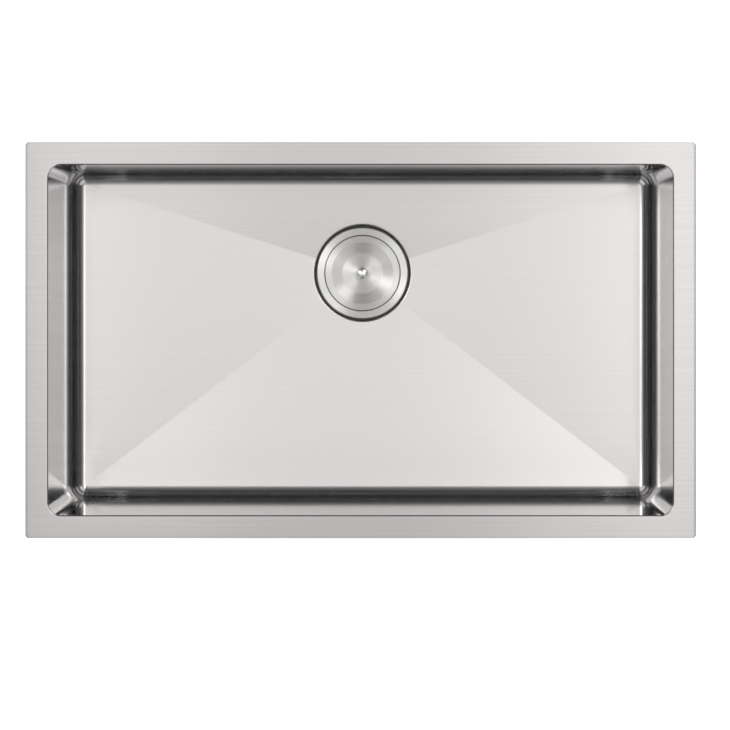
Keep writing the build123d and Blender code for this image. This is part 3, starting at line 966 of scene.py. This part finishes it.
class SINK_OT_make_sound_pads(bpy.types.Operator):
    """Put the rubber pads under the floor and round the walls"""

    bl_idname = "sink.make_sound_pads"
    bl_label = "Sound pads"

    def execute(self, context):
        for node in sorted(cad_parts):
            if node.endswith("_pad"):
                rounded_copy(node, "sink", "pad_rubber", node + "_rubber", width=0.0011, segments=3)
        return {"FINISHED"}


class SINK_OT_make_strainer(bpy.types.Operator):
    """Draw the strainer's cup, with its flange, threads, spigot and guide cross"""

    bl_idname = "sink.make_strainer"
    bl_label = "Strainer"

    def execute(self, context):
        sizes = context.scene.sink_drain
        seal = 0.0011
        flange_foot = context.scene.sink_bowl.seat_level + seal
        outer, top, end = sizes.spigot_radius, sizes.spigot_top, sizes.spigot_end
        mouth_bend, floor_bend, outlet_bend, chamfer = 0.003, 0.007, 0.002, 0.0004
        skin = turned_skin(sheet_outline(
            sizes.strainer_sheet,
            ((sizes.flange_radius, flange_foot), (sizes.flange_radius, sizes.flange_level),
             (sizes.cup_radius, sizes.flange_level), (sizes.cup_radius, sizes.cup_floor),
             (sizes.outlet_radius, sizes.outlet_level), (sizes.outlet_radius, end)),
            radii=(sizes.flange_edge, mouth_bend, floor_bend, outlet_bend)), turns=160)
        inner = sizes.outlet_radius + sizes.strainer_sheet / 2
        spigot = turned_skin(((inner, end), (outer - chamfer, end), (outer, end + chamfer), (outer, top),
                              (inner, top)), turns=160)
        cross_top, cross_foot, half_bar = -0.2756, -0.2776, 0.0015
        hub_bore, hub_radius, bar_root = 0.0043, 0.0075, 0.0055
        for near, far in ((-inner, -bar_root), (bar_root, inner)):
            bar_box(spigot, (near, drain_y - half_bar, cross_foot), (far, drain_y + half_bar, cross_top))
            bar_box(spigot, (-half_bar, drain_y + near, cross_foot), (half_bar, drain_y + far, cross_top))
        hub = turned_skin(((hub_bore, cross_foot), (hub_radius, cross_foot), (hub_radius, cross_top),
                           (hub_bore, cross_top)), turns=48)
        cup = new_piece("strainer_steel", merged(skin, spigot, hub), "spun_steel")
        thread = winding_thread("wound_thread")
        cup_thread = {"Radius": sizes.cup_radius + sizes.strainer_sheet, "Height": 0.0195, "Level": -0.2547}
        spigot_thread = {"Radius": outer, "Height": 0.0165, "Level": end + 0.0018}
        for place in (cup_thread, spigot_thread):
            grow(cup, thread, "spun_steel", Pitch=sizes.thread_pitch, Crest=sizes.thread_height, **place)
        hand_over(cup, "sink", "spun_steel", "strainer_body")
        return {"FINISHED"}


class SINK_OT_make_drain_fittings(bpy.types.Operator):
    """Make what clamps the strainer and carries the water down: seals, nuts, washers and the tailpiece"""

    bl_idname = "sink.make_drain_fittings"
    bl_label = "Drain fittings"

    def execute(self, context):
        # The flange seal is a real part of the strainer. Its dark rim that shows in the groove round the
        # strainer's flange stands in for the shadow in that groove.
        rounded_copy("flange_seal", "sink", "black_rubber", "flange_seal_ring", width=0.00025, segments=2)
        rounded_copy("rubber_gasket", "sink", "black_rubber", "gasket_ring", width=0.0007, segments=3)
        rounded_copy("friction_washer", "sink", "fibre", "friction_ring", width=0.0002, segments=2)
        rounded_copy("tailpiece_washer", "sink", "white_plastic", "tube_washer", width=0.0005, segments=2)
        self.make_lock_nut()
        self.make_coupling_nut()
        self.make_tailpiece(context.scene.sink_drain)
        return {"FINISHED"}

    def make_lock_nut(self):
        low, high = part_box("lock_nut")
        bore, wall, plate = 0.04425, 0.04875, high.z - 0.003
        nut = new_piece("lock_nut_zinc", turned_skin(ring_outline(
            ((bore, low.z), (wall, low.z), (wall, plate), (high.x, plate), (high.x, high.z), (bore, high.z),
             (bore, low.z)),
            radii=(0.0006, 0.0012, 0.0006, 0.0006, 0.0004)), turns=144), "cast_zinc")
        lug_root, lug_reach, lug_gap = 0.0465, 0.00725, 0.0004
        grow(nut, ring_of_bars("nut_lugs", False), "cast_zinc", Count=8, Width=0.006, Reach=lug_reach,
             Height=high.z - low.z - lug_gap, Corner=0.0012, Ring_Radius=lug_root + lug_reach / 2,
             Level=(low.z + high.z) / 2)
        soften(nut, width=0.0005, segments=2, angle=60)
        hand_over(nut, "sink", "cast_zinc", "lock_nut")

    def make_coupling_nut(self):
        low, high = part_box("coupling_nut")
        bore, wall, lip, lip_top = 0.02385, 0.02785, 0.0205, low.z + 0.003
        nut = new_piece("coupling_nut_plastic", turned_skin(ring_outline(
            ((lip, low.z), (wall, low.z), (wall, high.z), (bore, high.z), (bore, lip_top), (lip, lip_top),
             (lip, low.z)),
            radii=(0.0012, 0.0012, 0.0006, 0.0005, 0.0004)), turns=144), "white_plastic")
        rib_gap = 0.0012
        grow(nut, ring_of_ribs("nut_ribs"), "white_plastic", Count=12, Rib_Radius=0.0025,
             Height=high.z - low.z - rib_gap, Ring_Radius=wall, Level=(low.z + high.z) / 2)
        soften(nut, width=0.0007, segments=3, angle=60)
        hand_over(nut, "sink", "white_plastic", "coupling_nut")

    def make_tailpiece(self, sizes):
        outer, flange, flange_foot = sizes.tube_radius, tube_high.x, tube_high.z - 0.002
        bore = outer - 0.00105
        tube = new_piece("tailpiece_tube", turned_skin(ring_outline(
            ((bore, tube_low.z), (outer, tube_low.z), (outer, flange_foot), (flange, flange_foot),
             (flange, tube_high.z), (bore, tube_high.z), (bore, tube_low.z)),
            radii=(0.0004, 0.0011, 0.0006, 0.0006, 0.0008), steps=5), turns=128), "plated_brass")
        hand_over(tube, "sink", "plated_brass", "tailpiece")


class SINK_OT_make_basket(bpy.types.Operator):
    """Make the lift-out basket with its post and stopper"""

    bl_idname = "sink.make_basket"
    bl_label = "Basket"

    def execute(self, context):
        sizes = context.scene.sink_drain
        lip, floor = basket_high.z, basket_low.z + sizes.basket_sheet
        wall, foot, eye, slot_margin = 0.0406, 0.036, 0.0031, 0.006
        cup = new_piece("basket_steel", turned_skin(sheet_outline(
            sizes.basket_sheet, ((basket_high.x, lip), (wall, lip), (foot, floor), (eye, floor)),
            radii=(0.0016, 0.005)), turns=192), "spun_steel")
        grow(cup, ring_of_bars("basket_slots", True), "spun_steel", Count=sizes.slot_count,
             Width=sizes.slot_width, Height=lip - floor - 2 * slot_margin, Reach=0.0078,
             Corner=sizes.slot_width * 0.49, Ring_Radius=(wall + foot) / 2, Level=(lip + floor) / 2)
        grow(cup, rings_of_holes("basket_holes", 3), "spun_steel", Hole_Radius=sizes.hole_radius,
             Pitch=sizes.hole_pitch, Level=floor - sizes.basket_sheet / 2)
        hand_over(cup, "basket", "spun_steel", "basket_cup")
        stud_foot, top = post_low.z, post_high.z
        collar, neck = floor + 0.0016, top - 0.005
        stud_radius, collar_radius, shaft_radius, head_radius = 0.003, 0.008, 0.0036, 0.007
        post = new_piece("basket_post_steel", turned_skin(bar_outline(
            ((0, stud_foot), (stud_radius, stud_foot), (stud_radius, floor), (collar_radius, floor),
             (collar_radius, collar), (shaft_radius, collar), (shaft_radius, neck), (head_radius, neck),
             (head_radius, top), (0, top)),
            radii=(0.0005, 0.0002, 0.0004, 0.0006, 0.0018, 0.0012, 0.0012, 0.0016)),
            turns=96, ring=False), "polished_steel")
        hand_over(post, "basket", "polished_steel", "basket_post")
        rounded_copy("stopper", "basket", "black_rubber", "stopper_rubber", width=0.0006, segments=3)
        for node, edge in (("stopper_washer", 0.0003), ("backing_washer", 0.0003), ("guide_nut", 0.0004)):
            rounded_copy(node, "basket", "polished_steel", node + "_steel", edge, segments=2)
        return {"FINISHED"}


class SINK_OT_make_lid(bpy.types.Operator):
    """Spin the dished lid and fit its domed knob"""

    bl_idname = "sink.make_lid"
    bl_label = "Lid"

    def execute(self, context):
        sizes = context.scene.sink_drain
        eye = 0.0021
        lid = new_piece("lid_dish", turned_skin(sheet_outline(
            sizes.lid_sheet,
            ((sizes.lid_radius, sizes.lid_skirt), (sizes.lid_radius, sizes.lid_shoulder),
             (sizes.dish_radius, sizes.lid_shoulder), (sizes.dish_foot, sizes.dish_level),
             (eye, sizes.dish_level)),
            radii=(sizes.lid_edge, sizes.dish_lip, sizes.dish_cove), steps=9), turns=192), "spun_steel")
        grow(lid, ring_of_bars("skirt_notches", True), "spun_steel", Count=sizes.notch_count, Width=0.008,
             Height=0.002, Reach=0.0032, Corner=0.0006, Ring_Radius=sizes.lid_radius - sizes.lid_sheet / 2,
             Level=sizes.lid_skirt)
        hand_over(lid, "lid", "spun_steel", "drain_lid")
        self.make_knob(sizes)
        rounded_copy("knob_nut", "lid", "polished_steel", "knob_nut_steel", width=0.0003, segments=2)
        return {"FINISHED"}

    def make_knob(self, sizes):
        floor, edge, neck = sizes.dish_level, sizes.knob_radius, sizes.neck_radius
        low, top = knob_low.z, knob_high.z
        under, collar = top - sizes.knob_height, floor + 0.001
        stud_radius, collar_radius, dome_share, dome_steps = 0.002, 0.005, 0.8, 14
        bow = (edge ** 2 + sizes.knob_dome ** 2) / (2 * sizes.knob_dome)
        widest = asin(edge * dome_share / bow)
        leans = [widest * (1 - part) for part in parts(dome_steps)]
        dome = [Vector((bow * sin(lean), top - bow * (1 - cos(lean)))) for lean in leans]
        outline = bar_outline(
            ((0, low), (stud_radius, low), (stud_radius, floor), (collar_radius, floor),
             (collar_radius, collar), (neck, collar), (neck, under), (edge, under + sizes.knob_flare),
             (edge, top - sizes.knob_dome), dome[0]),
            radii=(0.0004, 0.0001, 0.0002, 0.0004, 0.0010, 0.0008, 0.0006, 0.0006), steps=4)
        skin = turned_skin(outline + dome[1:], turns=96, ring=False)
        knob = new_piece("lid_domed_knob", skin, "polished_steel")
        hand_over(knob, "lid", "polished_steel", "lid_knob")


# Brightness of the soft boxes overhead by angle from straight up, along the sink and from front to back
BOXES_ALONG = (
    (-72, 0.01), (-60, 0.05), (-48, 0.20), (-36, 0.50), (-26, 0.88), (-18, 1.30), (-14, 1.65), (-12, 0.80),
    (-10.5, 0.62), (-9.5, 1.12), (-8, 1.14), (-6, 1.12), (-3, 1.00), (0, 0.99), (2, 1.05), (5, 1.22),
    (8, 1.42), (11.5, 0.54), (12.6, 0.62), (14.5, 2.3), (19, 1.45), (29, 0.66), (46, 0.13), (68, 0.01))
BOXES_ACROSS = (
    (-70, 0.04), (-47, 0.14), (-26, 0.28), (-12, 0.58), (-6.5, 0.82), (0, 1.0), (4, 1.04), (9.5, 1.09),
    (12, 0.54), (17, 0.38), (23, 0.28), (31, 0.14), (45, 0.10), (60, 0.05))
# Middles of the two panels in the same angles, half of a panel's length and width, and its soft edge, from
# where it has faded out to where it is full, as squares of the distance in those halves
PANELS = ((-28, 13), (21, 24))
PANEL_HALVES = (11, 9)
PANEL_EDGE = (1.6, 0.2)
# Half of the pale floor's side in metres
FLOOR_HALF = 6


class SINK_OT_set_stage(bpy.types.Operator):
    """Lay the pale floor, hang the soft lamps and set the camera straight above"""

    bl_idname = "sink.set_stage"
    bl_label = "Stage"

    def execute(self, context):
        studio = context.scene.sink_studio
        self.lay_floor(studio)
        self.light_room(context.scene, studio)
        self.set_camera(context.scene, studio)
        context.scene.view_settings.view_transform = "Standard"
        context.scene.view_settings.look = "None"
        return {"FINISHED"}

    def lay_floor(self, studio):
        shape = bmesh.new()
        bmesh.ops.create_grid(shape, x_segments=8, y_segments=8, size=FLOOR_HALF)
        for vert in shape.verts:
            vert.co.z = cad_box[0].z
        material, start, place = new_finish("pale_floor")
        speckle = start.noise(place, 3)
        feed(material, base_color=start.tint(speckle, (0.84, 0.84, 0.84, 1), (0.88, 0.88, 0.88, 1)),
             roughness=0.9, emission_color=(1, 1, 1, 1), emission_strength=studio.floor_glow)
        floor = new_piece("pale_floor", shape)
        floor.data.materials.append(material)

    def light_room(self, scene, studio):
        world = bpy.data.worlds.new("studio")
        scene.world = world
        world.use_nodes = True
        tree = world.node_tree
        start = Wire(tree)
        x, y, z = start.node("ShaderNodeTexCoord", output="Generated").split()
        along, across = x.math("ARCTAN2", x, z), y.math("ARCTAN2", y, z)
        boxes = along.curve(BOXES_ALONG) * across.curve(BOXES_ACROSS)
        panels = self.panel(along, across, *PANELS[0]) + self.panel(along, across, *PANELS[1])
        off_axes = x.math("MINIMUM", abs(x), abs(y))
        corners = off_axes.step(0.18, 0.34) * z.step(0.80, 0.60)
        skirting = z.step(0.34, 0.14)
        walls = corners * 0.8 + skirting * 0.2
        glow = boxes * studio.boxes + panels * studio.panels + walls * studio.room
        room = start.node("ShaderNodeBackground", inputs={"Color": (*studio.tint, 1), "Strength": glow})
        white = start.node("ShaderNodeBackground", inputs={"Color": (1, 1, 1, 1), "Strength": 1.0})
        seen = start.node("ShaderNodeLightPath", output="Is Camera Ray")
        both = start.node("ShaderNodeMixShader", inputs={0: seen, 1: room, 2: white})
        tree.links.new(both.socket, tree.nodes["World Output"].inputs["Surface"])

    def panel(self, along, across, middle_along, middle_across):
        """A soft round panel overhead, its middle given in degrees from straight up."""
        aside = (along - radians(middle_along)) / radians(PANEL_HALVES[0])
        ahead = (across - radians(middle_across)) / radians(PANEL_HALVES[1])
        return (aside * aside + ahead * ahead).step(*PANEL_EDGE)

    def set_camera(self, scene, studio):
        camera = bpy.data.cameras.new("camera")
        camera.lens = studio.camera_lens
        camera.shift_x, camera.shift_y = studio.camera_shift
        held = bpy.data.objects.new("camera", camera)
        held.location = studio.camera_place
        scene.collection.objects.link(held)
        scene.camera = held


OPERATORS = (SINK_OT_make_bowl, SINK_OT_make_sound_pads, SINK_OT_make_strainer, SINK_OT_make_drain_fittings,
             SINK_OT_make_basket, SINK_OT_make_lid, SINK_OT_set_stage)


class SINK_PT_build(bpy.types.Panel):
    """Steps and sizes of the sink"""

    bl_idname = "SINK_PT_build"
    bl_label = "Sink"
    bl_space_type = "VIEW_3D"
    bl_region_type = "UI"
    bl_category = "Sink"

    def draw(self, context):
        for operator in OPERATORS:
            self.layout.operator(operator.bl_idname)
        for name, group in GROUPS.items():
            box = self.layout.box()
            box.label(text=group.__doc__)
            for label in group.__annotations__:
                box.prop(getattr(context.scene, name), label)


CLASSES = (*GROUPS.values(), *OPERATORS, SINK_PT_build)


def register():
    for each in CLASSES:
        bpy.utils.register_class(each)
    for name, group in GROUPS.items():
        setattr(bpy.types.Scene, name, PointerProperty(type=group))


def unregister():
    for name in GROUPS:
        delattr(bpy.types.Scene, name)
    for each in reversed(CLASSES):
        bpy.utils.unregister_class(each)


def main():
    register()
    bpy.ops.sink.make_bowl()
    bpy.ops.sink.make_sound_pads()
    bpy.ops.sink.make_strainer()
    bpy.ops.sink.make_drain_fittings()
    bpy.ops.sink.make_basket()
    bpy.ops.sink.make_lid()
    bpy.ops.sink.set_stage()


if __name__ == "__main__":
    main()
